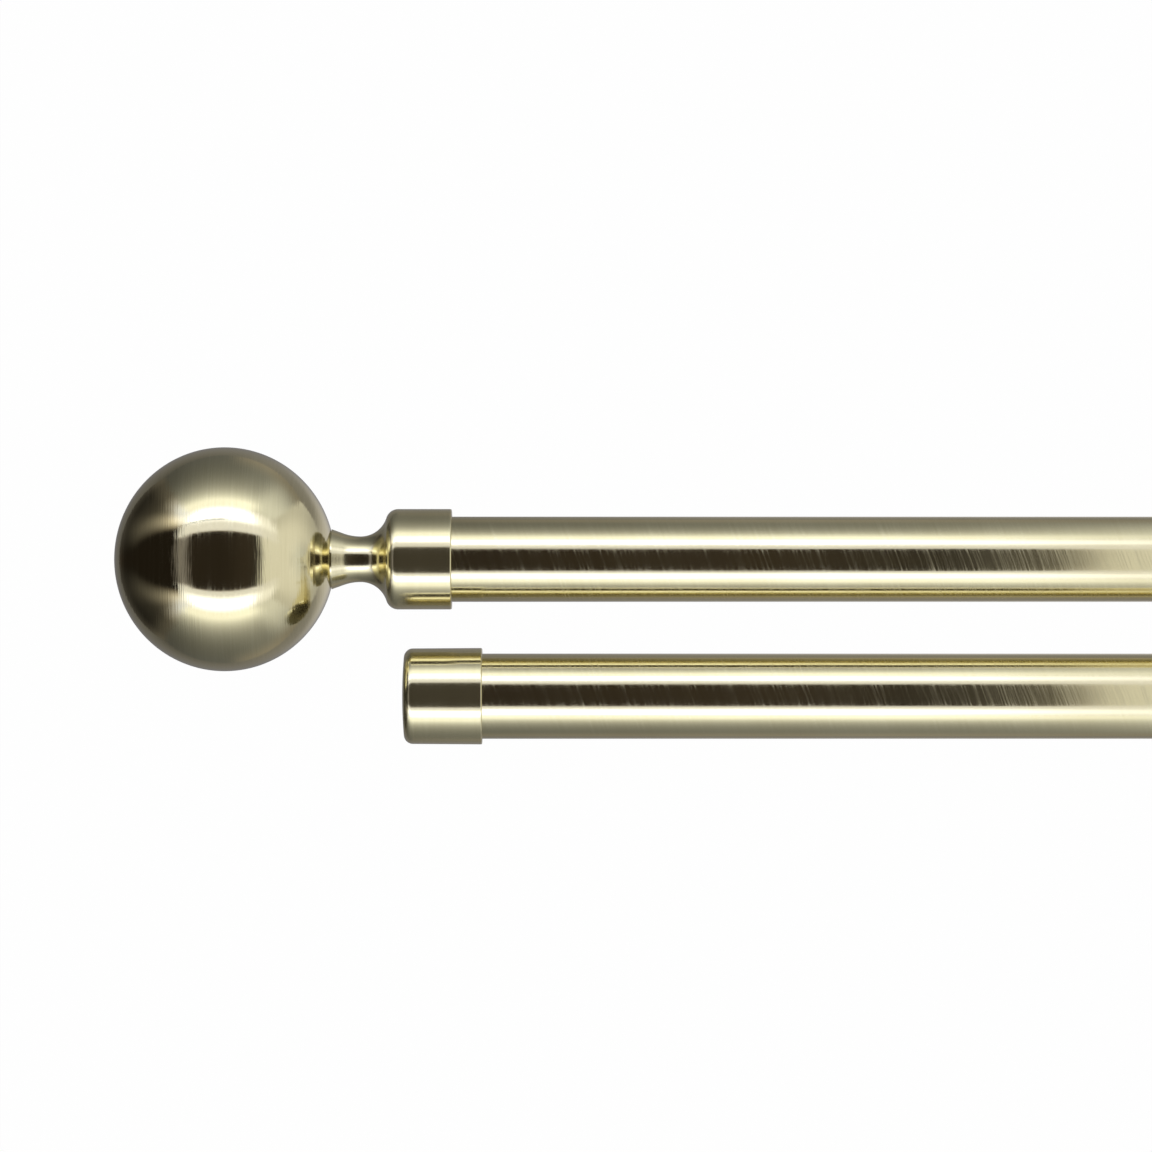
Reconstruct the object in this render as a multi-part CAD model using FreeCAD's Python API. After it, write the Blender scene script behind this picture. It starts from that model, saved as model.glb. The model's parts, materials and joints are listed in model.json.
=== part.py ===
import FreeCAD
import Part
import math
import os

# Double curtain pole for a wall, in millimetres: a front pole with ball finials and a rear pole
# with plain end caps, held side by side by two double brackets.
# X runs along the poles, +Y points into the wall and +Z is up. The origin lies on the wall's
# surface, at the centre of the four wall screws.

Vector = FreeCAD.Vector

# Poles: two thin tubes at one height
tube_diameter = 28.0
tube_wall = 1.0
front_tube_length = 1200.0
rear_tube_setback = 3.5  # how far each end of the rear tube stops short of the front one
pole_spacing = 45.0  # between the axes of the two poles
rear_pole_projection = 65.0  # from the wall to the axis of the rear pole
slip_clearance = 0.1  # radial gap between a tube and the socket that slides over it

# Finial holder: a ferrule that slides over the tube, a waisted neck and a foot for the ball
ferrule_wall = 2.4
socket_depth = 17.6
shoulder_radius = 4.1  # rounds the closed end of the ferrule
flare_radius = 8.9  # hollow between the shoulder and the waist
neck_waist_diameter = 15.0
foot_hollow_radius = 15.7  # hollow between the waist and the foot
foot_crown_radius = 29.2  # rounds the foot towards the ball
foot_angle = 15.0  # slope of the foot where it meets the ball, in degrees
foot_flare = 2.5  # how far the foot stands out past the waist
rim_round = 0.5  # rounds the open edge of the ferrules and caps

# Ball: a hollow ball, slightly flattened along the pole, on a threaded stud
ball_diameter = 73.6
ball_flattening = 0.55  # shortening of the ball along the pole, at each side
ball_wall = 1.8
boss_diameter = 14.0
boss_length = 15.0
stud_diameter = 6.0
stud_depth_in_neck = 15.0
stud_end_gap = 1.0  # room left at the bottom of the neck's blind hole
thread_clearance = 0.05  # radial gap that stands for the thread

# End cap: a cup with a crowned end
cap_wall = 1.75
cap_draft = 0.15  # how much slimmer the closed end is, at each side
cap_length = 26.3
cap_floor = 2.2
cap_corner_radius = 3.0
cap_crown_radius = 150.0

# Grub screws: they lock the finials and the poles from below and from the sides
grub_diameter = 4.0
grub_tip_gap = 0.1  # from the tip to the tube
grub_socket_width = 2.0  # across the flats of the hexagon
grub_socket_depth = 1.3
grub_inset = 7.5  # from the ferrule's open edge to its grub screw

# Brackets: a wall plate, a flat arm and two cradles each
bracket_spacing = 600.0
plate_width = 28.0
plate_height = 80.0
plate_thickness = 5.0
plate_edge_radius = 1.5
wall_hole_diameter = 5.2
wall_hole_spacing = 54.0
wall_countersink_diameter = 10.0
arm_width = 16.0
arm_height = 9.0
arm_edge_radius = 1.0
arm_overhang = 15.0  # from the front pole's axis to the tip of the arm
arm_recess_depth = 1.0  # how far the arm is let into the wall plate
arm_recess_clearance = 0.1
cradle_width = 14.0
cradle_wall = 3.0
cradle_base = 4.2  # thickness between the arm and the bottom of the seat
cradle_foot_length = 16.0  # flat of the cradle on the arm, across the poles
cradle_rise = 4.0  # straight wall above the pole's axis, below its round top
cradle_clearance = 0.2  # radial gap between a tube and its seat
cradle_edge_radius = 0.8

# Bracket screws: a countersunk screw joins arm and plate, a cap screw holds each cradle
arm_screw_diameter = 5.0
arm_screw_head_diameter = 9.2
arm_screw_length = 18.0
arm_screw_sunk = 0.2  # from the wall's surface to the screw's head
cradle_screw_diameter = 4.0
cradle_screw_head_diameter = 7.0
cradle_screw_head_height = 4.0
cradle_screw_end_gap = 0.3
cradle_skin = 0.8  # metal left between the cradle's blind hole and the seat
screw_hole_clearance = 0.1  # radial gap round a screw's shank
screw_head_clearance = 0.2  # gap round a screw's head
screw_socket_width = 3.0
screw_socket_depth = 1.8

# Sizes and places that follow
tube_radius = tube_diameter / 2
socket_radius = tube_radius + slip_clearance
ferrule_radius = socket_radius + ferrule_wall
neck_waist_radius = neck_waist_diameter / 2
foot_radius = neck_waist_radius + foot_flare
ball_radius = ball_diameter / 2
ball_half_length = ball_radius - ball_flattening
seat_to_ball_centre = ball_half_length * math.sqrt(1 - (foot_radius / ball_radius) ** 2)
stud_hole_radius = stud_diameter / 2 + thread_clearance
grub_hole_radius = grub_diameter / 2 + thread_clearance
rear_tube_length = front_tube_length - 2 * rear_tube_setback
cradle_seat_radius = tube_radius + cradle_clearance
cradle_outer_radius = cradle_seat_radius + cradle_wall
pole_height = arm_height / 2 + cradle_base + cradle_seat_radius
rear_pole_y = -rear_pole_projection
front_pole_y = rear_pole_y - pole_spacing
arm_back_y = -(plate_thickness - arm_recess_depth)
arm_tip_y = front_pole_y - arm_overhang
ferrule_rim_x = front_tube_length / 2 - socket_depth
cap_rim_x = rear_tube_length / 2 + cap_floor - cap_length


def line(start, end):
    return Part.LineSegment(Vector(*start), Vector(*end)).toShape()


def arc(centre, radius, start_angle, end_angle):
    """Arc in the XY plane between two angles in degrees, drawn the short way."""
    points = []
    for angle in (start_angle, (start_angle + end_angle) / 2, end_angle):
        turn = math.radians(angle)
        points.append(Vector(centre[0] + radius * math.cos(turn), centre[1] + radius * math.sin(turn), 0))
    return Part.Arc(*points).toShape()


def ends(edge):
    """Start and end point of an edge in its own direction."""
    return edge.valueAt(edge.FirstParameter), edge.valueAt(edge.LastParameter)


def closed_face(edges):
    """Face inside an outline; a straight edge fills each gap between one edge and the next."""
    outline = []
    for edge, following in zip(edges, edges[1:] + edges[:1]):
        outline.append(edge)
        gap_start = ends(edge)[1]
        gap_end = ends(following)[0]
        if gap_start.distanceToPoint(gap_end) > 1e-6:
            outline.append(Part.LineSegment(gap_start, gap_end).toShape())
    return Part.Face(Part.Wire(outline))


def turned(edges):
    """Solid turned about the X axis from an outline in the XY plane, where Y is the radius."""
    return closed_face(edges).revolve(Vector(0, 0, 0), Vector(1, 0, 0), 360)


def cylinder(radius, start, end):
    """Solid cylinder from one point to another."""
    axis = Vector(*end) - Vector(*start)
    return Part.makeCylinder(radius, axis.Length, Vector(*start), axis)


def cone(start_radius, end_radius, start, end):
    axis = Vector(*end) - Vector(*start)
    return Part.makeCone(start_radius, end_radius, axis.Length, Vector(*start), axis)


def hexagon(width, start, end):
    """Six-sided prism between two points, with its width measured across the flats."""
    axis = Vector(*end) - Vector(*start)
    corner_radius = width / math.sqrt(3)
    corners = [
        Vector(corner_radius * math.cos(math.radians(60 * k)), corner_radius * math.sin(math.radians(60 * k)), 0)
        for k in range(7)
    ]
    prism = Part.Face(Part.makePolygon(corners)).extrude(Vector(0, 0, axis.Length))
    prism.Placement = FreeCAD.Placement(Vector(*start), FreeCAD.Rotation(Vector(0, 0, 1), axis))
    return prism


def at_end(shape, side, rim_x, pole_y):
    """Puts a piece made along +X, with its open edge at zero, on one end of a pole."""
    placed = shape.copy()
    if side < 0:
        placed.rotate(Vector(0, 0, 0), Vector(0, 0, 1), 180)
    placed.translate(Vector(side * rim_x, pole_y, pole_height))
    return placed


def tube(length, pole_y):
    half = length / 2
    outside = cylinder(tube_radius, (-half, pole_y, pole_height), (half, pole_y, pole_height))
    inside = cylinder(tube_radius - tube_wall, (-half, pole_y, pole_height), (half, pole_y, pole_height))
    return outside.cut(inside)


def neck_outline():
    """Outer outline of the finial holder from its open edge to the ball, and the length it reaches.

    Two pairs of tangent arcs: shoulder into flare down to the waist, then hollow into crown out to
    the foot. The turn of each pair follows from the radii that it has to join.
    """
    shoulder_turn = math.degrees(
        math.acos(1 - (ferrule_radius - neck_waist_radius) / (shoulder_radius + flare_radius))
    )
    waist_x = socket_depth + (shoulder_radius + flare_radius) * math.sin(math.radians(shoulder_turn))
    foot_turn = math.degrees(
        math.acos(
            (foot_hollow_radius + foot_crown_radius * math.cos(math.radians(foot_angle)) - foot_flare)
            / (foot_hollow_radius + foot_crown_radius)
        )
    )
    crown_x = waist_x + (foot_hollow_radius + foot_crown_radius) * math.sin(math.radians(foot_turn))
    crown_y = foot_radius - foot_crown_radius * math.cos(math.radians(foot_angle))
    outline = [
        arc((rim_round, ferrule_radius - rim_round), rim_round, 180, 90),
        arc((socket_depth, ferrule_radius - shoulder_radius), shoulder_radius, 90, 90 - shoulder_turn),
        arc((waist_x, neck_waist_radius + flare_radius), flare_radius, 270 - shoulder_turn, 270),
        arc((waist_x, neck_waist_radius + foot_hollow_radius), foot_hollow_radius, 270, 270 + foot_turn),
        arc((crown_x, crown_y), foot_crown_radius, 90 + foot_turn, 90 + foot_angle),
    ]
    return outline, ends(outline[-1])[1].x


def finial_holder():
    outline, length = neck_outline()
    hole_bottom = length - stud_depth_in_neck - stud_end_gap
    inside = [
        line((length, stud_hole_radius, 0), (hole_bottom, stud_hole_radius, 0)),
        line((hole_bottom, 0, 0), (socket_depth, 0, 0)),
        line((socket_depth, socket_radius, 0), (0, socket_radius, 0)),
    ]
    holder = turned(outline + inside)
    return holder.cut(cylinder(grub_hole_radius, (grub_inset, 0, 0), (grub_inset, 0, -2 * ferrule_radius)))


def ellipse_arc(half_length, radius, end_height):
    """Arc of a ball's outline from its far end over the top, down to a height near the foot."""
    centre = Vector(seat_to_ball_centre, 0, 0)
    ellipse = Part.Ellipse(centre + Vector(0, radius, 0), centre - Vector(half_length, 0, 0), centre)
    far_end = -math.pi / 2
    near_end = math.pi / 2 - math.asin(end_height / radius)
    return Part.ArcOfEllipse(ellipse, far_end, near_end).toShape()


def finial_ball():
    """Hollow ball with its seat on the foot at zero and an inner boss that takes the stud."""
    outside = turned(
        [
            ellipse_arc(ball_half_length, ball_radius, foot_radius),
            line((0, foot_radius, 0), (0, 0, 0)),
        ]
    )
    boss_radius = boss_diameter / 2
    hollow = turned(
        [
            ellipse_arc(ball_half_length - ball_wall, ball_radius - ball_wall, boss_radius),
            line((boss_length, boss_radius, 0), (boss_length, 0, 0)),
        ]
    )
    return outside.cut(hollow).cut(cylinder(stud_hole_radius, (0, 0, 0), (boss_length, 0, 0)))


def finial_stud():
    """Threaded stud about the foot's face at zero, half in the neck and half in the ball."""
    return cylinder(stud_diameter / 2, (-stud_depth_in_neck, 0, 0), (boss_length, 0, 0))


def end_cap():
    """Cup with its open edge at zero; the crowned end runs into the corner along a tangent."""
    rim_radius = socket_radius + cap_wall
    end_radius = rim_radius - cap_draft
    crown_centre = cap_length - cap_crown_radius
    corner_y = end_radius - cap_corner_radius
    crown_reach = math.sqrt((cap_crown_radius - cap_corner_radius) ** 2 - corner_y**2)
    corner_x = crown_centre + crown_reach
    crown_turn = math.degrees(math.atan2(corner_y, crown_reach))
    bore_end = cap_length - cap_floor
    return turned(
        [
            arc((rim_round, rim_radius - rim_round), rim_round, 180, 90),
            arc((corner_x, corner_y), cap_corner_radius, 90, crown_turn),
            arc((crown_centre, 0), cap_crown_radius, crown_turn, 0),
            line((bore_end, 0, 0), (bore_end, socket_radius, 0)),
            line((bore_end, socket_radius, 0), (0, socket_radius, 0)),
        ]
    )


def grub_screw(length):
    """Headless screw along +X with its tip at zero and a hexagon socket in its other end."""
    socket = hexagon(grub_socket_width, (length - grub_socket_depth, 0, 0), (length, 0, 0))
    return cylinder(grub_diameter / 2, (0, 0, 0), (length, 0, 0)).cut(socket)


def finial_grub_screw(side):
    """Flush grub screw in the underside of a ferrule."""
    screw = grub_screw(ferrule_wall + slip_clearance - grub_tip_gap)
    screw.rotate(Vector(0, 0, 0), Vector(0, 1, 0), 90)
    screw.translate(Vector(grub_inset, 0, -(tube_radius + grub_tip_gap)))
    return at_end(screw, side, ferrule_rim_x, front_pole_y)


def wall_plate(bracket_x):
    """Upright plate with round ends, two countersunk wall screws and a recess for the arm."""
    half_width = plate_width / 2
    straight = plate_height / 2 - half_width
    outline = [
        arc((0, straight), half_width, 0, 180),
        arc((0, -straight), half_width, 180, 360),
    ]
    plate = closed_face(outline).extrude(Vector(0, 0, plate_thickness))
    front_edges = [edge for edge in plate.Edges if edge.BoundBox.ZMin > plate_thickness - 1e-6]
    plate = plate.makeFillet(plate_edge_radius, front_edges)
    plate.rotate(Vector(0, 0, 0), Vector(1, 0, 0), 90)
    sink_depth = (wall_countersink_diameter - wall_hole_diameter) / 2
    for z in (-wall_hole_spacing / 2, wall_hole_spacing / 2):
        hole = cylinder(wall_hole_diameter / 2, (0, 0, z), (0, -plate_thickness, z))
        sink = cone(
            wall_countersink_diameter / 2,
            wall_hole_diameter / 2,
            (0, -plate_thickness, z),
            (0, sink_depth - plate_thickness, z),
        )
        plate = plate.cut(hole).cut(sink)
    recess_width = arm_width + 2 * arm_recess_clearance
    recess_height = arm_height + 2 * arm_recess_clearance
    recess = Part.makeBox(
        recess_width,
        arm_recess_depth,
        recess_height,
        Vector(-recess_width / 2, -plate_thickness, -recess_height / 2),
    )
    plate = plate.cut(recess).cut(arm_screw_hole())
    plate.translate(Vector(bracket_x, 0, 0))
    return plate


def arm_screw_head_length():
    """Height of the ninety degree countersunk head."""
    return (arm_screw_head_diameter - arm_screw_diameter) / 2


def arm_screw_hole():
    """Clearance hole through the plate with a countersink on the wall side."""
    hole_radius = arm_screw_diameter / 2 + screw_hole_clearance
    sink_radius = arm_screw_head_diameter / 2 + screw_hole_clearance
    sink_end = -arm_screw_sunk - arm_screw_head_length()
    return (
        cylinder(hole_radius, (0, 0, 0), (0, -plate_thickness, 0))
        .fuse(cylinder(sink_radius, (0, 0, 0), (0, -arm_screw_sunk, 0)))
        .fuse(cone(sink_radius, hole_radius, (0, -arm_screw_sunk, 0), (0, sink_end, 0)))
    )


def arm_screw(bracket_x):
    """Countersunk screw driven from the wall side through the plate into the arm."""
    shank_radius = arm_screw_diameter / 2
    head_y = -arm_screw_sunk
    neck_y = head_y - arm_screw_head_length()
    head = cone(arm_screw_head_diameter / 2, shank_radius, (0, head_y, 0), (0, neck_y, 0))
    shank = cylinder(shank_radius, (0, neck_y, 0), (0, head_y - arm_screw_length, 0))
    socket = hexagon(screw_socket_width, (0, head_y - screw_socket_depth, 0), (0, head_y, 0))
    screw = head.fuse(shank).cut(socket)
    screw.translate(Vector(bracket_x, 0, 0))
    return screw


def bracket_arm(bracket_x):
    """Flat bar with a round tip, tapped at the wall end and drilled below each cradle."""
    half_width = arm_width / 2
    half_height = arm_height / 2
    tip_centre_y = arm_tip_y + half_width
    outline = [
        line((half_width, tip_centre_y, 0), (half_width, arm_back_y, 0)),
        line((-half_width, arm_back_y, 0), (-half_width, tip_centre_y, 0)),
        arc((0, tip_centre_y), half_width, 180, 360),
    ]
    arm = closed_face(outline).extrude(Vector(0, 0, arm_height))
    arm.translate(Vector(0, 0, -half_height))
    long_edges = [
        edge
        for edge in arm.Edges
        if abs(edge.BoundBox.ZMin - edge.BoundBox.ZMax) < 1e-6 and edge.BoundBox.YMin < arm_back_y - 1e-3
    ]
    arm = arm.makeFillet(arm_edge_radius, long_edges)
    screw_end_y = -arm_screw_sunk - arm_screw_length - stud_end_gap
    arm = arm.cut(cylinder(arm_screw_diameter / 2 + thread_clearance, (0, arm_back_y, 0), (0, screw_end_y, 0)))
    head_seat_z = cradle_screw_head_height + screw_head_clearance - half_height
    for pole_y in (rear_pole_y, front_pole_y):
        shank_hole = cylinder(
            cradle_screw_diameter / 2 + screw_hole_clearance, (0, pole_y, -half_height), (0, pole_y, half_height)
        )
        head_hole = cylinder(
            cradle_screw_head_diameter / 2 + screw_head_clearance, (0, pole_y, -half_height), (0, pole_y, head_seat_z)
        )
        arm = arm.cut(shank_hole).cut(head_hole)
    arm.translate(Vector(bracket_x, 0, 0))
    return arm


def cradle_outline():
    """Section of a cradle about the pole's axis: a flat foot, tangent flanks and a round-topped U."""
    half_foot = cradle_foot_length / 2
    foot_z = -(cradle_seat_radius + cradle_base)
    foot_distance = math.hypot(half_foot, foot_z)
    flank_turn = math.degrees(math.atan2(foot_z, half_foot) + math.acos(cradle_outer_radius / foot_distance))
    top_radius = cradle_wall / 2
    top_centre = cradle_seat_radius + top_radius
    return [
        line((-half_foot, foot_z, 0), (half_foot, foot_z, 0)),
        arc((0, 0), cradle_outer_radius, flank_turn, 0),
        arc((top_centre, cradle_rise), top_radius, 0, 180),
        arc((0, 0), cradle_seat_radius, 0, -180),
        arc((-top_centre, cradle_rise), top_radius, 0, 180),
        arc((0, 0), cradle_outer_radius, 180, 180 - flank_turn),
    ]


def cradle(bracket_x, pole_y, screw_side):
    """Open cradle for one pole; its grub screw hole is on the given side along Y."""
    block = closed_face(cradle_outline()).extrude(Vector(0, 0, cradle_width))
    side_edges = [edge for edge in block.Edges if abs(edge.BoundBox.ZMin - edge.BoundBox.ZMax) < 1e-6]
    foot_z = -(cradle_seat_radius + cradle_base)
    rounded = [edge for edge in side_edges if edge.BoundBox.YMax > foot_z + 1e-3]
    block = block.makeFillet(cradle_edge_radius, rounded)
    block.translate(Vector(0, 0, -cradle_width / 2))
    block.Placement = FreeCAD.Placement(
        Vector(bracket_x, pole_y, pole_height), FreeCAD.Rotation(Vector(0, 1, 0), Vector(0, 0, 1), Vector(1, 0, 0))
    ).multiply(block.Placement)
    tapped = cylinder(
        cradle_screw_diameter / 2 + thread_clearance,
        (bracket_x, pole_y, arm_height / 2),
        (bracket_x, pole_y, arm_height / 2 + cradle_base - cradle_skin),
    )
    grub_hole = cylinder(
        grub_hole_radius,
        (bracket_x, pole_y, pole_height),
        (bracket_x, pole_y + screw_side * 2 * cradle_outer_radius, pole_height),
    )
    return block.cut(tapped).cut(grub_hole)


def cradle_grub_screw(bracket_x, pole_y, screw_side):
    """Flush grub screw in the side of a cradle, level with the pole's axis."""
    screw = grub_screw(cradle_wall + cradle_clearance - grub_tip_gap)
    screw.rotate(Vector(0, 0, 0), Vector(0, 0, 1), screw_side * 90)
    screw.translate(Vector(bracket_x, pole_y + screw_side * (tube_radius + grub_tip_gap), pole_height))
    return screw


def cradle_screw(bracket_x, pole_y):
    """Cap screw from below the arm up into the foot of a cradle."""
    half_height = arm_height / 2
    seat_z = cradle_screw_head_height + screw_head_clearance - half_height
    head_z = seat_z - cradle_screw_head_height
    tip_z = half_height + cradle_base - cradle_skin - cradle_screw_end_gap
    head = cylinder(cradle_screw_head_diameter / 2, (bracket_x, pole_y, head_z), (bracket_x, pole_y, seat_z))
    shank = cylinder(cradle_screw_diameter / 2, (bracket_x, pole_y, seat_z), (bracket_x, pole_y, tip_z))
    socket = hexagon(screw_socket_width, (bracket_x, pole_y, head_z), (bracket_x, pole_y, head_z + screw_socket_depth))
    return head.fuse(shank).cut(socket)


def build():
    """Every piece by its name; like screws share one name as a group of separate solids."""
    pieces = {
        "front_tube": tube(front_tube_length, front_pole_y),
        "rear_tube": tube(rear_tube_length, rear_pole_y),
    }
    groups = {"finial_grub_screws": [], "cradle_grub_screws": [], "cradle_screws": [], "arm_screws": []}
    holder = finial_holder()
    foot_x = ferrule_rim_x + neck_outline()[1]
    for side, name in ((-1, "left"), (1, "right")):
        pieces[f"{name}_finial_holder"] = at_end(holder, side, ferrule_rim_x, front_pole_y)
        pieces[f"{name}_finial_ball"] = at_end(finial_ball(), side, foot_x, front_pole_y)
        pieces[f"{name}_finial_stud"] = at_end(finial_stud(), side, foot_x, front_pole_y)
        pieces[f"{name}_end_cap"] = at_end(end_cap(), side, cap_rim_x, rear_pole_y)
        groups["finial_grub_screws"].append(finial_grub_screw(side))

        bracket_x = side * bracket_spacing / 2
        pieces[f"{name}_wall_plate"] = wall_plate(bracket_x)
        pieces[f"{name}_bracket_arm"] = bracket_arm(bracket_x)
        groups["arm_screws"].append(arm_screw(bracket_x))
        for pole, pole_y, screw_side in (("front", front_pole_y, -1), ("rear", rear_pole_y, 1)):
            pieces[f"{name}_{pole}_cradle"] = cradle(bracket_x, pole_y, screw_side)
            groups["cradle_grub_screws"].append(cradle_grub_screw(bracket_x, pole_y, screw_side))
            groups["cradle_screws"].append(cradle_screw(bracket_x, pole_y))
    for name, screws in groups.items():
        pieces[name] = Part.makeCompound(screws)
    return pieces


def main():
    os.makedirs("parts", exist_ok=True)
    for name, shape in build().items():
        shape.exportStep(os.path.join("parts", f"{name}.step"))
        box = shape.BoundBox
        print(f"{name}: {box.XLength:.2f} x {box.YLength:.2f} x {box.ZLength:.2f} mm, {shape.Volume / 1000:.2f} cm3")


main()
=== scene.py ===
import json
import math

import bpy
import numpy as np
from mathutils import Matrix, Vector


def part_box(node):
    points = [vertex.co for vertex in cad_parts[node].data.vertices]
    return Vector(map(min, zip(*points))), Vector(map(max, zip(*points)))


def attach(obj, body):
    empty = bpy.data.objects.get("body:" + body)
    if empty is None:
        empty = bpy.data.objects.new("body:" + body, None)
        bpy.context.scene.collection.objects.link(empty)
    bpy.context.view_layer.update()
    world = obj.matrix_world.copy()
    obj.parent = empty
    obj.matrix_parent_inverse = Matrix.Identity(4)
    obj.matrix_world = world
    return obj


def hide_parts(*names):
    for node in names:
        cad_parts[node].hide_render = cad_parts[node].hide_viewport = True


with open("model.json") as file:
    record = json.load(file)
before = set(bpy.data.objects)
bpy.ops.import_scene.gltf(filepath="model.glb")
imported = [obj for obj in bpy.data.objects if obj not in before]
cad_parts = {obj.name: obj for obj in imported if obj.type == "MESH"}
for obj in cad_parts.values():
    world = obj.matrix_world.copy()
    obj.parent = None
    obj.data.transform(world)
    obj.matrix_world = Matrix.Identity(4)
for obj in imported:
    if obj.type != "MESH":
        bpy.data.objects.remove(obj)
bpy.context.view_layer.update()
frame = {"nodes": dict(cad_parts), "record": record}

mm = 0.001  # sizes of the pieces are in millimetres, those of the stage in metres
sharpAngle = math.radians(30)  # edges that turn further are shaded sharp
sameSpot = 1e-6  # points closer than this are one point, in millimetres
rails = {mount["name"]: mount for mount in frame["record"]["mounts"] if mount["kind"] == "slide"}
poleRadius = rails["front_rail"]["dims"]["r_mm"]
frontAxis = rails["front_rail"]["pos_m"][1:]  # y and z of each pole's axis, in metres
rearAxis = rails["rear_rail"]["pos_m"][1:]
holderLow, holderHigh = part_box("right_finial_holder")
print("frame loaded:", len(frame["nodes"]), "nodes")


# Node maths: a wrapped socket, so that shader formulas read as Python
class Wire:
    def __init__(self, tree, socket=None):
        self.tree = tree
        self.socket = socket

    def put(self, target, value):
        if isinstance(value, Wire):
            self.tree.links.new(value.socket, target)
        else:
            target.default_value = value

    # any node: its type, its settings, then the values or links of its sockets
    def node(self, kind, settings=None, inputs=None, out=0):
        made = self.tree.nodes.new("ShaderNode" + kind)
        for key, value in (settings or {}).items():
            setattr(made, key, value)
        for key, value in (inputs or {}).items():
            self.put(made.inputs[key], value)
        return Wire(self.tree, made.outputs[out])

    # another output of the same node
    def output(self, key):
        return Wire(self.tree, self.socket.node.outputs[key])

    def maths(self, operation, first, second=0.0, third=0.0):
        inputs = {0: first, 1: second, 2: third}
        return self.node("Math", {"operation": operation}, inputs)

    def __add__(self, other):
        return self.maths("ADD", self, other)

    def __sub__(self, other):
        return self.maths("SUBTRACT", self, other)

    def __rsub__(self, other):
        return self.maths("SUBTRACT", other, self)

    def __mul__(self, other):
        return self.maths("MULTIPLY", self, other)

    __radd__ = __add__
    __rmul__ = __mul__

    def __abs__(self):
        return self.maths("ABSOLUTE", self)

    def root(self):
        return self.maths("SQRT", self)

    def exp(self):
        return self.maths("EXPONENT", self)

    def above(self, floor):
        return self.maths("MAXIMUM", self, floor)

    def below(self, top):
        return self.maths("MINIMUM", self, top)

    # as below, with the bend at top rounded off
    def softBelow(self, top, blend):
        return self.maths("SMOOTH_MIN", self, top, blend)

    # 0 below low, 1 above high and a smooth ramp between them
    def ramp(self, low, high):
        inputs = {"Value": self, "From Min": low, "From Max": high}
        return self.node("MapRange", {"interpolation_type": "SMOOTHSTEP"}, inputs)

    # that ramp, up to amount
    def rise(self, low, high, amount):
        return self.ramp(low, high) * amount

    # this value where mask is 0, other where it is 1
    def fade(self, other, mask):
        return self + (other - self) * mask


def newMaterial(name):
    material = bpy.data.materials.new(name)
    material.use_nodes = True
    material.node_tree.nodes.clear()
    return material, Wire(material.node_tree)


def finishMaterial(wire, shader):
    output = wire.tree.nodes.new("ShaderNodeOutputMaterial")
    wire.put(output.inputs["Surface"], shader)


def splitPlace(place):
    split = place.node("SeparateXYZ", inputs={0: place})
    return [split.output(key) for key in "XYZ"]


# first where mask is 0, second where it is 1
def mixColours(first, second, mask):
    return mask.node("Mix", {"data_type": "RGBA"}, {0: mask, 6: first, 7: second}, out=2)


# Brushed brass: grooves tilt the surface across the brushing, so reflections smear that way only
brassLook = dict(
    pale=(0.77, 0.705, 0.43, 1),
    deep=(0.71, 0.64, 0.375, 1),
    toneRange=(0.3, 0.7),  # noise values over which deep turns to pale
    patchSize=45.0,
    patchShare=0.6,  # of the tone, and the scratches give the rest
    fineDetail=1.0,
    coarseDetail=2.0,
    noiseRoughness=0.6,
    noiseMiddle=0.5,
    heightPerSlope=2.0,  # noise climbs about half its range within its spacing
)
ballBrush = dict(
    slant=0.0,  # leans the grooves along the pole, as a share of the way across it
    metal=1.0,  # less gives the surface a faint haze
    roughness=0.075,
    streakRange=(0.47, 0.70),  # noise values from which a scratch counts as deep
    streakRoughness=0.07,  # added along the deeper scratches
    fineAlong=False,  # fine grooves run round the pole, or along it as on drawn tube
    fineSpacing=0.15,
    fineLength=7.0,
    fineSlope=0.036,  # how far the grooves tilt the surface, in radians
    scratchSpacing=0.45,
    scratchLength=24.0,
    scratchSlope=0.032,
    wander=0.0,  # how far the scratches stray from straight lines
    wanderSize=14.0,
)
ferruleBrush = dict(
    ballBrush,
    metal=0.96,
    roughness=0.13,
    streakRoughness=0.04,
    fineSlope=0.05,
    scratchSlope=0.014,
)
poleBrush = dict(
    ballBrush,
    slant=0.36,
    roughness=0.09,
    streakRange=(0.40, 0.74),
    streakRoughness=0.15,
    fineAlong=True,
    fineLength=60.0,
    fineSlope=0.020,
    scratchSpacing=0.32,
    scratchLength=26.0,
    scratchSlope=0.006,
    wander=0.8,
)
neckPolish = dict(
    start=21.0,  # from the ferrule's rim, where the brushing begins to fade
    end=24.0,
    roughness=0.15,
    slopeShare=0.25,  # what stays of the grooves
)


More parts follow.
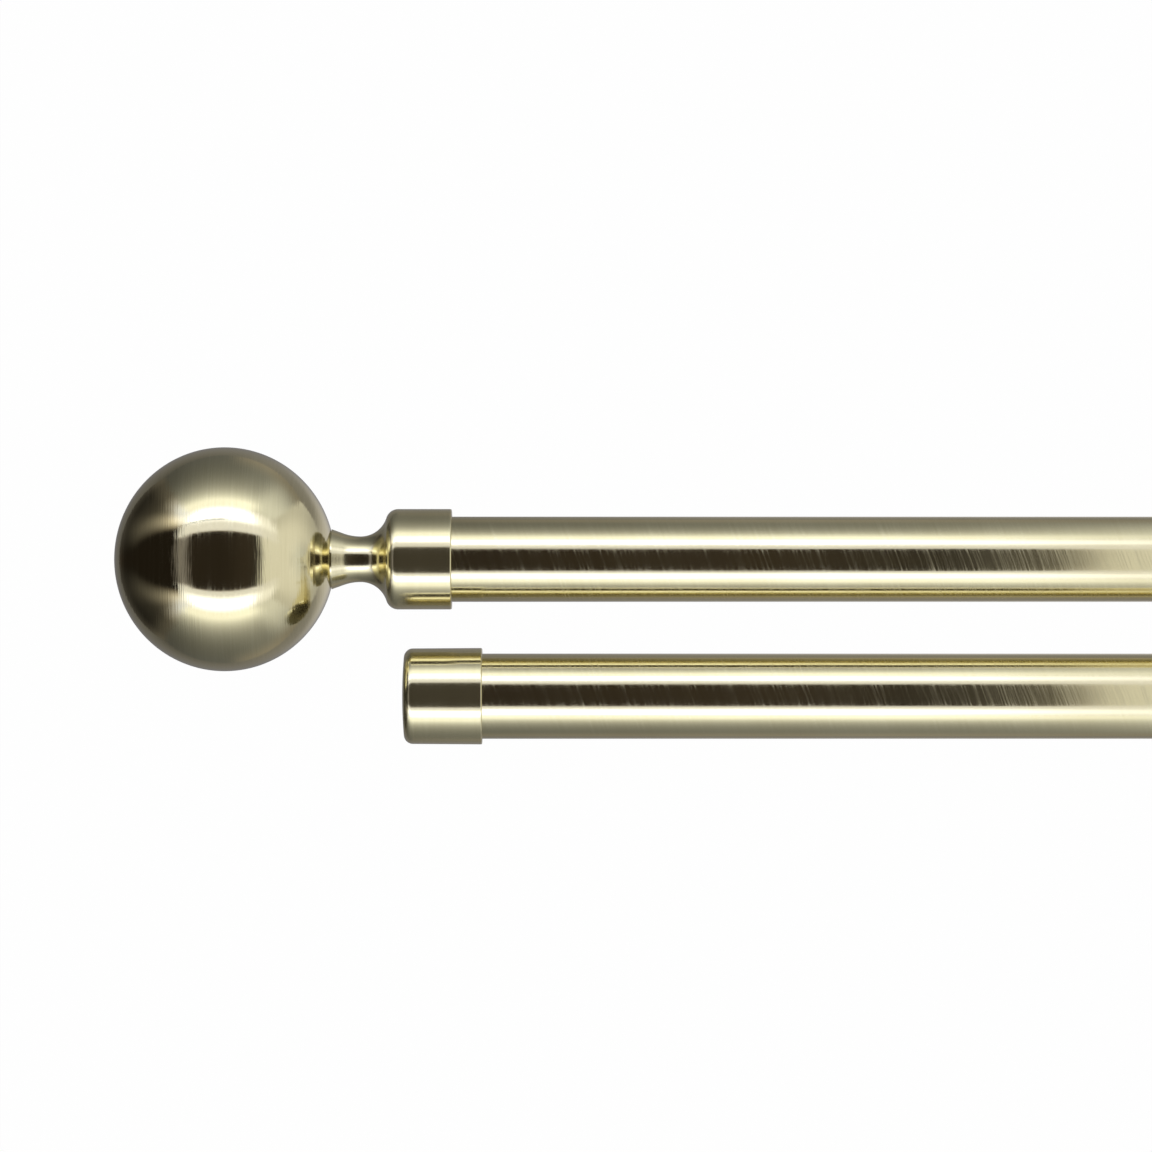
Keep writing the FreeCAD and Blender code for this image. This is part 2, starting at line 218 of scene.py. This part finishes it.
# groove height = stretched noise, scaled so that its flanks have the wanted slope;
# polish is the range of x, counted from the middle of the pole, over which the brushing fades
def brushedBrass(name, brush, polish=None):
    look = brassLook
    material, wire = newMaterial(name)
    place = wire.node("TexCoord", out="Object")
    x, y, z = splitPlace(place)
    inputs = {
        "Vector": place,
        "Scale": 1 / (brush["wanderSize"] * mm),
        "Detail": look["fineDetail"],
    }
    wander = wire.node("TexNoise", inputs=inputs)
    across = x + y * brush["slant"] + (wander - look["noiseMiddle"]) * (brush["wander"] * mm)

    def grooves(spacing, length, detail, along=False):
        alongX, around = (length, spacing) if along else (spacing, length)
        stretched = {
            "X": across * (1 / (alongX * mm)),
            "Y": y * (1 / (around * mm)),
            "Z": z * (1 / (around * mm)),
        }
        inputs = {
            "Vector": wire.node("CombineXYZ", inputs=stretched),
            "Scale": 1.0,
            "Detail": detail,
            "Roughness": look["noiseRoughness"],
        }
        return wire.node("TexNoise", inputs=inputs)

    fine = grooves(brush["fineSpacing"], brush["fineLength"], look["fineDetail"], brush["fineAlong"])
    scratch = grooves(brush["scratchSpacing"], brush["scratchLength"], look["coarseDetail"])
    patch = grooves(look["patchSize"], look["patchSize"], look["coarseDetail"])
    tone = patch * look["patchShare"] + scratch * (1 - look["patchShare"])
    colour = mixColours(look["deep"], look["pale"], tone.ramp(*look["toneRange"]))
    rough = brush["roughness"] + scratch.ramp(*brush["streakRange"]) * brush["streakRoughness"]
    height = fine * (look["heightPerSlope"] * brush["fineSlope"] * brush["fineSpacing"])
    height = height + scratch * (look["heightPerSlope"] * brush["scratchSlope"] * brush["scratchSpacing"])
    metal = brush["metal"]
    if polish:
        bare = abs(x).ramp(*polish)
        metal = metal + bare * (1 - metal)
        rough = rough.fade(neckPolish["roughness"], bare)
        height = height * (1 - bare * (1 - neckPolish["slopeShare"]))
    bump = wire.node("Bump", inputs={"Strength": 1.0, "Distance": mm, "Height": height})
    inputs = {"Base Color": colour, "Metallic": metal, "Roughness": rough, "Normal": bump}
    finishMaterial(wire, wire.node("BsdfPrincipled", inputs=inputs))
    return material


# Zinc-plated screws: dull grey metal with a cloudy plating
screwLook = dict(
    light=(0.50, 0.50, 0.51, 1),
    dark=(0.34, 0.34, 0.36, 1),
    roughness=0.32,
    cloudSize=1.5,
    cloudDetail=3.0,
    cloudMiddle=0.5,
    cloudRoughness=0.2,  # how far the clouds change the roughness
)


def zincSteel():
    look = screwLook
    material, wire = newMaterial("zincSteel")
    inputs = {
        "Vector": wire.node("TexCoord", out="Object"),
        "Scale": 1 / (look["cloudSize"] * mm),
        "Detail": look["cloudDetail"],
    }
    cloud = wire.node("TexNoise", inputs=inputs)
    colour = mixColours(look["dark"], look["light"], cloud)
    rough = look["roughness"] + (cloud - look["cloudMiddle"]) * look["cloudRoughness"]
    inputs = {"Base Color": colour, "Metallic": 1.0, "Roughness": rough}
    finishMaterial(wire, wire.node("BsdfPrincipled", inputs=inputs))
    return material


neckRange = [holderLow.x + neckPolish[key] * mm for key in ("start", "end")]
ballBrass = brushedBrass("ballBrass", ballBrush)
ferruleBrass = brushedBrass("ferruleBrass", ferruleBrush)
holderBrass = brushedBrass("holderBrass", ferruleBrush, neckRange)
poleBrass = brushedBrass("poleBrass", poleBrush)
screwSteel = zincSteel()
print("materials made")


# Profiles are points (s, r): s runs along the pole, r is the radius, and the outside lies to the left
# arc: centre plus radius times cosine and sine of an angle that goes from start to end, in degrees
def arcRun(centre, radius, start, end, steps):
    turn = np.radians(np.linspace(start, end, steps + 1))
    return np.column_stack((centre[0] + radius * np.cos(turn), centre[1] + radius * np.sin(turn)))


# straight run with a row close to each end, so that smooth shading stays flat between them
def straightRun(start, end, margin=0.15, largestShare=0.4):
    start, end = np.array(start, float), np.array(end, float)
    step = (end - start) * min(margin / np.linalg.norm(end - start), largestShare)
    return np.array((start, start + step, end - step, end))


# runs in a row, with the points that two of them share kept once
def joinRuns(*runs):
    points = np.concatenate(runs)
    apart = np.linalg.norm(np.diff(points, axis=0), axis=1) > sameSpot
    return points[np.concatenate(([True], apart))]


def smoothShade(mesh):
    mesh.shade_smooth()
    mesh.set_sharp_from_angle(angle=sharpAngle)


# the profile turned about the pole: x = side (start + s), y = axis + side r cos(turn),
# z = axis + r sin(turn); side is -1 at the left end, a point of no radius is one vertex,
# and closed joins the last row to the first
def turnedMesh(name, profile, start, side, axis, segments, closed=False):
    s, r = profile.T * mm
    turn = np.arange(segments) * 2 * math.pi / segments
    grid = np.empty((len(s), segments, 3))
    grid[..., 0] = (side * (start + s))[:, None]
    grid[..., 1] = axis[0] + side * np.outer(r, np.cos(turn))
    grid[..., 2] = axis[1] + np.outer(r, np.sin(turn))
    onAxis = r < sameSpot * mm
    kept = ~onAxis[:, None] | (np.arange(segments) == 0)
    first = np.concatenate(([0], np.cumsum(kept.sum(1))[:-1]))
    index = first[:, None] + np.where(onAxis[:, None], 0, np.arange(segments))
    upper, lower = index[:-1], index[1:]
    fromAxis, toAxis = onAxis[:-1], onAxis[1:]
    if closed:
        upper, lower = index, np.roll(index, -1, axis=0)
        fromAxis, toAxis = onAxis, np.roll(onAxis, -1)
    corners = (upper, np.roll(upper, -1, axis=1), np.roll(lower, -1, axis=1), lower)
    bands = (
        (~fromAxis & ~toAxis, (0, 1, 2, 3)),
        (fromAxis, (0, 2, 3)),
        (toAxis & ~fromAxis, (0, 1, 2)),
    )
    faces = []
    for rows, picked in bands:
        band = np.stack([corners[k][rows] for k in picked], axis=-1)
        faces += band.reshape(-1, len(picked)).tolist()
    mesh = bpy.data.meshes.new(name)
    mesh.from_pydata(grid[kept].tolist(), [], faces)
    smoothShade(mesh)
    return mesh


def addPiece(name, mesh, material, node):
    piece = bpy.data.objects.new(name, mesh)
    bpy.context.scene.collection.objects.link(piece)
    mesh.materials.append(material)
    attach(piece, "root")
    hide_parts(node)


# Poles: thin tubes with a small break on their edges
pole = dict(wall=1.0, edge=0.15, segments=256)


# once round the wall's section: outside, far end, inside and near end
def poleProfile(length):
    outer, inner, edge = poleRadius, poleRadius - pole["wall"], pole["edge"]
    return joinRuns(
        straightRun((edge, outer), (length - edge, outer)),
        straightRun((length, outer - edge), (length, inner + edge)),
        straightRun((length - edge, inner), (edge, inner)),
        straightRun((0, inner + edge), (0, outer - edge)),
    )


for node, axis in (("front_tube", frontAxis), ("rear_tube", rearAxis)):
    low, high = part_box(node)
    profile = poleProfile((high.x - low.x) / mm)
    mesh = turnedMesh(node + "_pole", profile, low.x, 1, axis, pole["segments"], closed=True)
    addPiece(node + "_pole", mesh, poleBrass, node)
print("poles made")

# Finial holder: ferrule, waisted neck and foot
holder = dict(
    ferruleRadius=16.5,
    socketRadius=14.1,
    socketDepth=17.6,
    rimRound=0.5,
    rimSteps=8,
    shoulderRadius=4.1,
    shoulderSteps=32,
    flareRadius=8.9,
    flareSteps=40,
    waistRadius=7.5,
    footHollowRadius=16.5,
    footHollowSteps=24,
    footRadius=10.0,
    footEdge=0.12,
    footEdgeSteps=6,
    seamWidth=0.25,  # groove between the foot and the ball
    seamDepth=0.7,
    seamMargin=0.05,
    studRadius=3.05,
    studDepth=16.0,
    grubInset=7.5,  # from the rim to the grub screw's hole in the underside
    grubRadius=2.05,
    grubMargin=3.2,
    grubSides=48,
    drillDepths=(21.45, 9.87),  # the drill's two ends, below the pole's axis
    segments=192,
)


# tangent arcs from the ferrule to the waist, then a hollow that runs into the foot's straight flank;
# lean is the flank's angle to the axis: it touches the hollow's circle and meets the foot's edge
def holderProfile():
    h = holder
    ferrule, socket, deep = h["ferruleRadius"], h["socketRadius"], h["socketDepth"]
    rim, edge, stud = h["rimRound"], h["footEdge"], h["studRadius"]
    reach = h["shoulderRadius"] + h["flareRadius"]
    shoulderTurn = math.degrees(math.acos(1 - (ferrule - h["waistRadius"]) / reach))
    shoulder = (deep, ferrule - h["shoulderRadius"])
    waist = deep + reach * math.sin(math.radians(shoulderTurn))
    flare = (waist, h["waistRadius"] + h["flareRadius"])
    foot = (holderHigh.x - holderLow.x) / mm
    hollow = h["footHollowRadius"]
    back = hollow - (h["footRadius"] - h["waistRadius"])
    lean = math.atan2(foot - waist, back) - math.acos(hollow / math.hypot(foot - waist, back))
    leanTurn = math.degrees(lean)
    lip = foot - h["seamWidth"]
    edgeRadius = h["footRadius"] - (h["seamWidth"] + edge) * math.tan(lean) - edge / math.cos(lean)
    flankEnd = (lip - edge - edge * math.sin(lean), edgeRadius + edge * math.cos(lean))
    seamRadius = h["footRadius"] - h["seamDepth"]
    studEnd = foot - h["studDepth"]
    grub = (h["grubInset"] - h["grubMargin"], h["grubInset"] + h["grubMargin"])
    hollowCentre = (waist, h["waistRadius"] + hollow)
    hollowRun = arcRun(hollowCentre, hollow, 270, 270 + leanTurn, h["footHollowSteps"])
    return joinRuns(
        arcRun((rim, ferrule - rim), rim, 180, 90, h["rimSteps"]),
        straightRun((rim, ferrule), (grub[0], ferrule)),
        straightRun((grub[0], ferrule), (grub[1], ferrule)),
        straightRun((grub[1], ferrule), (deep, ferrule)),
        arcRun(shoulder, h["shoulderRadius"], 90, 90 - shoulderTurn, h["shoulderSteps"]),
        arcRun(flare, h["flareRadius"], 270 - shoulderTurn, 270, h["flareSteps"]),
        hollowRun,
        straightRun(hollowRun[-1], flankEnd),
        arcRun((lip - edge, edgeRadius), edge, 90 + leanTurn, 0, h["footEdgeSteps"]),
        straightRun((lip, edgeRadius), (lip, seamRadius)),
        straightRun((lip, seamRadius), (foot, seamRadius), h["seamMargin"]),
        straightRun((foot, seamRadius), (foot, stud)),
        straightRun((foot, stud), (studEnd, stud)),
        straightRun((studEnd, stud), (studEnd, 0)),
        straightRun((deep, 0), (deep, socket)),
        straightRun((deep, socket), (0, socket)),
        straightRun((0, socket), (0, ferrule - rim)),
    )


# round hole through the ferrule's wall, from below: the turned mesh less a cylinder,
# whose two rings are the hole's centre plus radius times cosine and sine of the turn
def drillHolder(mesh, start, side):
    sides, radius = holder["grubSides"], holder["grubRadius"] * mm
    turn = np.arange(sides) * 2 * math.pi / sides
    rings = np.empty((2, sides, 3))
    rings[..., 0] = side * (start + holder["grubInset"] * mm) + radius * np.cos(turn)
    rings[..., 1] = frontAxis[0] + radius * np.sin(turn)
    rings[..., 2] = frontAxis[1] - np.array(holder["drillDepths"])[:, None] * mm
    lower = np.arange(sides)
    upper = lower + sides
    walls = np.column_stack((lower, np.roll(lower, -1), np.roll(upper, -1), upper)).tolist()
    ends = [lower[::-1].tolist(), upper.tolist()]
    drill = bpy.data.meshes.new("drill")
    drill.from_pydata(rings.reshape(-1, 3).tolist(), [], walls + ends)
    blank, cutter = bpy.data.objects.new("blank", mesh), bpy.data.objects.new("cutter", drill)
    for made in (blank, cutter):
        bpy.context.scene.collection.objects.link(made)
    cut = blank.modifiers.new("hole", "BOOLEAN")
    cut.object = cutter
    cut.solver = "EXACT"
    graph = bpy.context.evaluated_depsgraph_get()
    drilled = bpy.data.meshes.new_from_object(blank.evaluated_get(graph))
    for made in (blank, cutter):
        bpy.data.objects.remove(made)
    bpy.data.meshes.remove(drill)
    smoothShade(drilled)
    return drilled


# Ball: an ellipse about the pole, flat where it sits on the foot
ball = dict(
    radius=36.8,
    halfLength=36.25,
    outlinePoints=160,
    seatRadius=10.0,
    seatEdge=0.10,
    boreRadius=3.05,
    boreDepth=15.0,
    segments=256,
)


# bore and seat, then the outline to the far end: s = centre + halfLength cos(turn), r = radius sin(turn)
def ballProfile():
    b = ball
    bore, deep = b["boreRadius"], b["boreDepth"]
    seatTurn = math.pi - math.asin((b["seatRadius"] + b["seatEdge"]) / b["radius"])
    centre = b["halfLength"] * math.sqrt(1 - (b["seatRadius"] / b["radius"]) ** 2)
    turn = np.linspace(seatTurn, 0, b["outlinePoints"])
    outline = np.column_stack((centre + b["halfLength"] * np.cos(turn), b["radius"] * np.sin(turn)))
    outline[-1, 1] = 0
    return joinRuns(
        straightRun((deep, 0), (deep, bore)),
        straightRun((deep, bore), (0, bore)),
        straightRun((0, bore), (0, b["seatRadius"] - b["seatEdge"])),
        outline,
    )


# End cap: a cup whose crowned end runs into its corner along a tangent
cap = dict(
    rimRadius=15.85,
    endRadius=15.7,
    socketRadius=14.1,
    length=26.3,
    floor=2.2,
    rimRound=0.5,
    rimSteps=8,
    cornerRadius=3.0,
    cornerSteps=20,
    crownRadius=150.0,
    crownSteps=24,
    segments=192,
)


# inside of the cup, rim and wall, then the corner's arc and the crown's, which touch at crownTurn
def capProfile():
    c = cap
    socket, rim, rimRadius = c["socketRadius"], c["rimRound"], c["rimRadius"]
    bottom = c["length"] - c["floor"]
    crownCentre = c["length"] - c["crownRadius"]
    cornerR = c["endRadius"] - c["cornerRadius"]
    crownReach = math.sqrt((c["crownRadius"] - c["cornerRadius"]) ** 2 - cornerR**2)
    cornerS = crownCentre + crownReach
    crownTurn = math.degrees(math.atan2(cornerR, crownReach))
    crown = arcRun((crownCentre, 0), c["crownRadius"], crownTurn, 0, c["crownSteps"])
    crown[-1, 1] = 0
    return joinRuns(
        straightRun((bottom, 0), (bottom, socket)),
        straightRun((bottom, socket), (0, socket)),
        straightRun((0, socket), (0, rimRadius - rim)),
        arcRun((rim, rimRadius - rim), rim, 180, 90, c["rimSteps"]),
        straightRun((rim, rimRadius), (cornerS, c["endRadius"])),
        arcRun((cornerS, cornerR), c["cornerRadius"], 90, crownTurn, c["cornerSteps"]),
        crown,
    )


endPieces = (
    ("finial_holder", holderProfile(), frontAxis, holder["segments"], holderBrass),
    ("finial_ball", ballProfile(), frontAxis, ball["segments"], ballBrass),
    ("end_cap", capProfile(), rearAxis, cap["segments"], ferruleBrass),
)
for end, side in (("left", -1), ("right", 1)):
    for part, profile, axis, segments, brass in endPieces:
        node = f"{end}_{part}"
        low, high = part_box(node)
        start = min(abs(low.x), abs(high.x))  # the end nearer the pole's middle
        mesh = turnedMesh(node + "_turned", profile, start, side, axis, segments)
        if part == "finial_holder":
            mesh = drillHolder(mesh, start, side)
        addPiece(node + "_turned", mesh, brass, node)
print("finials and caps made")

# Brackets and screws keep their solids and get the finishes
slotFinish = {"brushed_brass": ferruleBrass, "screw_steel": screwSteel}
for row in frame["record"]["subparts"]:
    mesh = frame["nodes"][row["node"]].data
    mesh.materials.clear()
    mesh.materials.append(slotFinish[row["material_slot"]])
print("brackets finished")


# Stage: a light tent that is open at the front, seen only in reflections, over a pale floor
photo = dict(
    width=0.3786,  # real width of the picture at the poles
    aim=(0.5416, -0.1045),  # x and y at the picture's centre
    distance=2.4,
    sensorWidth=36.0,  # millimetres
    clipEnd=100.0,
)
floorLook = dict(
    radius=14.0,
    sides=96,
    z=-0.48,
    colour=(0.95, 0.95, 0.95, 1),
    whiteShare=0.97,  # the rest takes shadows
)
# screens are lit by u, v and w: u runs from the ball towards the middle of the poles, at both ends,
# v up the picture and w towards the camera, both from the front pole's axis
tent = dict(
    ballX=0.6571,  # where u is 0
    end=-0.40,  # u of the end wall
    top=0.50,  # from the axis, as bottom, front and back
    bottom=0.50,
    front=0.35,
    back=-0.46,
    paleLevel=0.88,  # of the pale cloth
)
tentTint = dict(
    lamp=(1.0, 1.08, 1.50),
    frame=(1.0, 1.02, 1.25),
    pale=(1.0, 1.0, 1.06),
    pillar=(1.0, 0.95, 1.10),
    side=(1.0, 1.03, 1.14),
    low=(1.0, 0.93, 0.90),
    back=(1.0, 0.98, 1.05),
    dark=(1.0, 0.79, 0.66),
    grey=(1.0, 0.93, 0.92),
)


def stageObject(name, points, faces, material):
    mesh = bpy.data.meshes.new(name)
    mesh.from_pydata(points.tolist(), [], faces)
    mesh.materials.append(material)
    made = bpy.data.objects.new(name, mesh)
    bpy.context.scene.collection.objects.link(made)
    return made


# first where mask is 0, second where it is 1
def mixTints(first, second, mask):
    return mask.node("Mix", {"data_type": "VECTOR"}, {0: mask, 4: first, 5: second}, out=1)


# glows with the level and tint that light gives, and lets rays through where it is clear
def screenMaterial(name, light):
    material, wire = newMaterial(name)
    x, y, z = splitPlace(wire.node("TexCoord", out="Object"))
    level, tint, *clear = light(tent["ballX"] - abs(x), frontAxis[0] - y, z - frontAxis[1])
    shade = wire.node("CombineXYZ", inputs={"X": level, "Y": level, "Z": level})
    colour = wire.node("VectorMath", {"operation": "MULTIPLY"}, {0: shade, 1: tint})
    shader = wire.node("Emission", inputs={"Color": colour, "Strength": 1.0})
    if clear:
        shader = wire.node("MixShader", inputs={0: clear[0], 1: shader, 2: wire.node("BsdfTransparent")})
    finishMaterial(wire, shader)
    return material


# below, two numbers are the range of a ramp unless a note says otherwise, and a third is its amount
frontCloth = dict(
    openingU=(-0.25, 0.308),  # the opening's two ends, and its lower and upper edge
    openingV=(-0.215, 0.185),
    corner=0.02,
    edge=0.006,
    frameLevel=1.04,  # white frame above and below the opening, with a lamp behind its cloth
    frameEdge=(-0.03, 0.01),  # about the opening's edge
    frameEnd=(0.24, 0.42, 0.55),
    lampLevel=1.45,
    lampInner=(0.25, 0.33),
    lampOuter=(0.37, 0.52, 0.75),
    lampStart=(-0.46, -0.18),
    lampEnd=(0.18, 0.38, 0.6),
    pillarLevel=0.25,  # cloth to the left of the opening; to the right of it the cloth is pale
    pillarEnd=(-0.05, 0.05),
    seamV=0.295,  # thin dark seam in the cloth above the opening
    seamWidth=(0.004, 0.011),
    seamEnd=(0.0, 0.07),
    seamShade=0.8,
    darkLevel=0.027,  # what shows through the opening
    darkRise=(0.0, 0.20, 0.015),
    darkEnd=(0.245, 0.335, 0.15),
    greyStart=(0.18, 0.28),  # where the dark loses its brown
)


# rounded opening: distance past its inner corner centres, less the corner's radius; lamps run along it
def frontLight(u, v, w):
    c = frontCloth
    uMid, vMid = sum(c["openingU"]) / 2, sum(c["openingV"]) / 2
    uHalf, vHalf = c["openingU"][1] - uMid, c["openingV"][1] - vMid
    du = (abs(u - uMid) - (uHalf - c["corner"])).above(0)
    dv = (abs(v - vMid) - (vHalf - c["corner"])).above(0)
    past = (du * du + dv * dv).root() - c["corner"]
    outside = past.ramp(-c["edge"], c["edge"])
    lamp = abs(v).ramp(*c["lampInner"]) * (1 - abs(v).rise(*c["lampOuter"]))
    lamp = lamp * u.ramp(*c["lampStart"]) * (1 - u.rise(*c["lampEnd"]))
    framed = abs(v - vMid).ramp(vHalf + c["frameEdge"][0], vHalf + c["frameEdge"][1])
    framed = framed * (1 - u.rise(*c["frameEnd"]))
    pale = u.ramp(*c["pillarEnd"])
    sides = pale * (tent["paleLevel"] - c["pillarLevel"]) + c["pillarLevel"]
    wall = sides.fade(lamp * c["lampLevel"] + c["frameLevel"], framed)
    seam = (1 - abs(v - c["seamV"]).ramp(*c["seamWidth"])) * (1 - u.ramp(*c["seamEnd"]))
    wall = wall * (1 - seam * c["seamShade"])
    dark = u.rise(*c["darkRise"]) + u.rise(*c["darkEnd"]) + c["darkLevel"]
    sideTint = mixTints(tentTint["pillar"], tentTint["pale"], pale)
    wallTint = mixTints(sideTint, mixTints(tentTint["frame"], tentTint["lamp"], lamp), framed)
    darkTint = mixTints(tentTint["dark"], tentTint["grey"], u.ramp(*c["greyStart"]))
    return dark.fade(wall, outside), mixTints(darkTint, wallTint, outside)


sideCloth = dict(
    level=0.08,
    endRise=(-0.45, 0.0, 0.06),
    poleRise=(0.0, 0.25, 0.08),
    glow=2.8,  # at the front edge, before it is capped
    glowRate=9.2,  # each metre to the back divides the glow by e this many times
    glowCap=1.25,
    glowBlend=0.3,
    warmLevel=0.10,  # strip at the back
    warmFront=(-0.45, -0.12),
    warmStart=(-0.02, 0.10),
    paleLevel=0.28,
    paleRise=(-0.40, 0.25, 0.58),
    paleStart=(0.24, 0.44),
    paleLean=0.03,
)


# bright next to the lamps, falling off to a warm strip at the back,
# and pale from the opening's right end on
def sideLight(u, v, w):
    c = sideCloth
    glow = ((w - tent["front"]) * c["glowRate"]).exp() * c["glow"]
    glow = glow.softBelow(c["glowCap"], c["glowBlend"])
    level = u.rise(*c["endRise"]) + u.rise(*c["poleRise"]) + c["level"] + glow
    warm = (1 - w.ramp(*c["warmFront"])) * u.ramp(*c["warmStart"])
    pale = w.rise(*c["paleRise"]) + c["paleLevel"]
    level = (level + warm * c["warmLevel"]).fade(pale, (u + v * c["paleLean"]).ramp(*c["paleStart"]))
    return level, mixTints(tentTint["side"], tentTint["low"], warm)


endCloth = dict(
    level=0.015,
    outerRise=(0.30, 0.46, 0.07),
    coreFront=(0.5, 0.19),  # the dark core's half height is the first times w plus the second
    coreBack=(0.12, 0.155),  # the same for the back, and the larger counts
    coreGrey=(-0.14, -0.04),  # about the core's edge, where it loses its brown
    glow=0.19,  # at the axis, before it is capped
    glowRate=7.5,
    glowCap=1.15,
    glowBlend=0.3,
    glowEdge=(-0.11, 0.0),  # about the core's edge
    glowOuter=(0.0, 0.10, 0.65),
    glowUpper=(-0.05, 0.05),
    lowerShare=0.6,  # what the lower half has of the glow
    cornerLevel=0.7,  # beside the lamps
    cornerInner=(0.26, 0.45),
    cornerBack=(-0.04, 0.30),
    rearLevel=0.035,
    rearFront=(-0.44, -0.24),
)


# a dark core that narrows to the back, edged by a glow that the lamps throw along the wall
def endLight(u, v, w):
    c = endCloth
    front, back = [w * slope + height for slope, height in (c["coreFront"], c["coreBack"])]
    past = abs(v) - front.above(back)
    glow = ((w * c["glowRate"]).exp() * c["glow"]).softBelow(c["glowCap"], c["glowBlend"])
    glow = glow * past.ramp(*c["glowEdge"]) * (1 - past.rise(*c["glowOuter"]))
    glow = glow * (v.ramp(*c["glowUpper"]) * (1 - c["lowerShare"]) + c["lowerShare"])
    corner = abs(v).ramp(*c["cornerInner"]) * w.ramp(*c["cornerBack"])
    rear = 1 - w.ramp(*c["rearFront"])
    level = abs(v).rise(*c["outerRise"]) + c["level"]
    level = level + glow + corner * c["cornerLevel"] + rear * c["rearLevel"]
    darkTint = mixTints(tentTint["dark"], tentTint["grey"], past.ramp(*c["coreGrey"]))
    return level, mixTints(darkTint, tentTint["lamp"], corner)


backCloth = dict(
    level=0.15,
    endRise=(-0.40, 0.10, 0.07),
    poleRise=(0.0, 0.20, 0.05),
    outerFall=(0.28, 0.50, 0.03),
    paleLevel=0.35,
    paleStart=(0.02, 0.30),
    paleOuter=(0.05, 0.30),
)


# grey, paler behind the poles' middle
def backLight(u, v, w):
    c = backCloth
    pale = u.ramp(*c["paleStart"]) * (1 - abs(v).ramp(*c["paleOuter"]))
    level = u.rise(*c["endRise"]) + u.rise(*c["poleRise"]) + c["level"] - abs(v).rise(*c["outerFall"])
    return level + pale * c["paleLevel"], tentTint["back"]


farCloth = dict(level=0.45, frontRise=(-0.45, 0.30, 0.35))


# the far end of the tent, paler to the front
def farLight(u, v, w):
    return w.rise(*farCloth["frontRise"]) + farCloth["level"], tentTint["side"]


dividerCloth = dict(
    backLevel=0.5,
    paleFront=(-0.45, 0.10),  # from that level to the pale cloth's
    outerLevel=0.66,
    outerStart=(0.25, 0.5),
    clearEdge=(0.03, 0.22),  # distance from the front pole's axis
)


# parts the two ends of the tent, and fades away around the poles
def dividerLight(u, v, w):
    c = dividerCloth
    level = w.ramp(*c["paleFront"]) * (tent["paleLevel"] - c["backLevel"]) + c["backLevel"]
    level = level.fade(c["outerLevel"], abs(v).ramp(*c["outerStart"]))
    return level, tentTint["pale"], 1 - (v * v + w * w).root().ramp(*c["clearEdge"])


# corners of a rectangle: one of the x, y and z ranges has no length,
# and the corners go round the other two
def screenCorners(*ranges):
    first, second = [k for k, (low, high) in enumerate(ranges) if low != high]
    picked = np.zeros((4, 3), int)
    picked[:, first] = (0, 1, 1, 0)
    picked[:, second] = (0, 0, 1, 1)
    return np.array(ranges, float)[np.arange(3), picked]


endX = tent["ballX"] - tent["end"]
topY, bottomY = frontAxis[0] - tent["top"], frontAxis[0] + tent["bottom"]
frontZ, backZ = frontAxis[1] + tent["front"], frontAxis[1] + tent["back"]
wide, deep, tall = (-endX, endX), (topY, bottomY), (backZ, frontZ)
screens = (
    ("frontScreen", frontLight, wide, deep, (frontZ, frontZ)),
    ("backScreen", backLight, wide, deep, (backZ, backZ)),
    ("topScreen", sideLight, wide, (topY, topY), tall),
    ("bottomScreen", sideLight, wide, (bottomY, bottomY), tall),
    ("leftScreen", endLight, (endX, endX), deep, tall),
    ("rightScreen", farLight, (-endX, -endX), deep, tall),
    ("divider", dividerLight, (0, 0), deep, tall),
)
for name, light, *ranges in screens:
    screen = stageObject(name, screenCorners(*ranges), [(0, 1, 2, 3)], screenMaterial(name, light))
    screen.visible_camera = False
    screen.visible_diffuse = False
    screen.visible_shadow = False


# 1 where the camera, metal or glass looks at the surface
def seenDirectly(wire):
    path = wire.node("LightPath")
    seen = [path.output(key) for key in ("Is Camera Ray", "Is Glossy Ray", "Is Transmission Ray")]
    return (seen[0] + seen[1] + seen[2]).below(1.0)


# white where it is looked at, elsewhere a plain pale surface,
# and clear from below, so that the underside can be seen
def paleFloor():
    material, wire = newMaterial("paleFloor")
    plain = wire.node("BsdfDiffuse", inputs={"Color": floorLook["colour"]})
    white = wire.node("Emission", inputs={"Strength": 1.0})
    whiteness = seenDirectly(wire) * floorLook["whiteShare"]
    top = wire.node("MixShader", inputs={0: whiteness, 1: plain, 2: white})
    below = wire.node("NewGeometry", out="Backfacing")
    finishMaterial(wire, wire.node("MixShader", inputs={0: below, 1: top, 2: wire.node("BsdfTransparent")}))
    return material


# disc: radius times cosine and sine of the turn, at one height
turn = np.arange(floorLook["sides"]) * 2 * math.pi / floorLook["sides"]
disc = np.column_stack((np.cos(turn), np.sin(turn), np.zeros_like(turn))) * floorLook["radius"]
stageObject("floor", disc + (0, 0, floorLook["z"]), [tuple(range(len(disc)))], paleFloor())

world = bpy.data.worlds.new("studio")
bpy.context.scene.world = world
world.use_nodes = True
world.node_tree.nodes.clear()
air = Wire(world.node_tree)
sky = air.node("Background", inputs={"Strength": 1.0})
worldOutput = world.node_tree.nodes.new("ShaderNodeOutputWorld")
air.put(worldOutput.inputs["Surface"], sky)

# Camera: far above the poles, looking straight down, with the wall towards the bottom of the picture
cameraData = bpy.data.cameras.new("photoCamera")
cameraData.sensor_width = photo["sensorWidth"]
cameraData.lens = photo["sensorWidth"] * photo["distance"] / photo["width"]
cameraData.clip_end = photo["clipEnd"]
camera = bpy.data.objects.new("photoCamera", cameraData)
camera.location = (*photo["aim"], frontAxis[1] + photo["distance"])
camera.rotation_euler = (0, 0, math.pi)
bpy.context.scene.collection.objects.link(camera)
bpy.context.scene.camera = camera
bpy.context.scene.view_settings.view_transform = "Standard"
print("stage and camera set")

bpy.context.view_layer.update()
